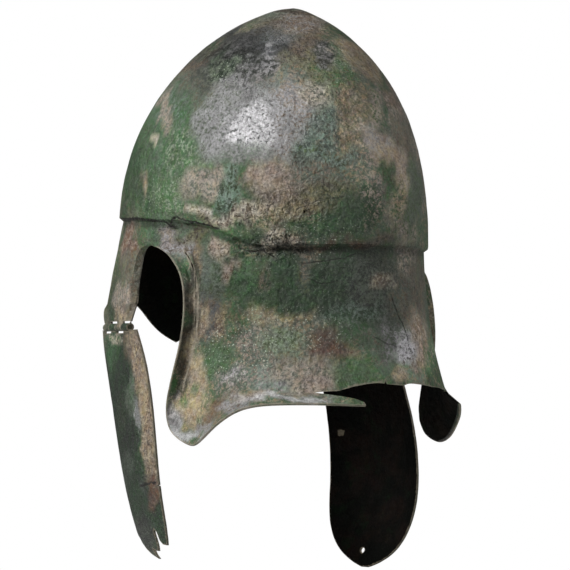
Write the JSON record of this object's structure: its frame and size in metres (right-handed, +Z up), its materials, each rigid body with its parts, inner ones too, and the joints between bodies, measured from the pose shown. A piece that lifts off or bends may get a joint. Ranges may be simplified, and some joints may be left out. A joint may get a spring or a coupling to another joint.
{
  "type": "helmet with hinged cheekpieces",
  "caption": "Ancient bronze helmet: one-piece crown with nose guard, ear openings and neck guard, and a hinged cheekpiece hanging at each side.",
  "frame": {"origin": "middle of the hollow where the wearer's head sits, level with the ledge round the crown", "axes": "+Z up through the crown, -Y the way the wearer looks, +X the wearer's left"},
  "size_m": [0.1842, 0.2452, 0.3363],
  "materials": {
    "skull_bronze": "corroded bronze, green, tan and grey",
    "cheek_bronze": "corroded bronze, dark green and brown",
    "pin_bronze": "dark corroded bronze"
  },
  "bodies": {
    "helmet_bowl": {"skull": "skull_bronze", "hinge_pin_left": "pin_bronze", "hinge_pin_right": "pin_bronze"},
    "left_cheek": {"cheekpiece_left": "cheek_bronze"},
    "right_cheek": {"cheekpiece_right": "cheek_bronze"}
  },
  "joints": [
    {"name": "left_cheek_hinge", "type": "hinge", "parent": "helmet_bowl", "child": "left_cheek", "pos_m": [0.08093, -0.04395, -0.05802], "axis": [-0.2069, -0.9783, 0.0092], "range_deg": [-12, 120]},
    {"name": "right_cheek_hinge", "type": "hinge", "parent": "helmet_bowl", "child": "right_cheek", "pos_m": [-0.08093, -0.04395, -0.05802], "axis": [-0.2069, 0.9783, -0.0092], "range_deg": [-12, 120]}
  ]
}
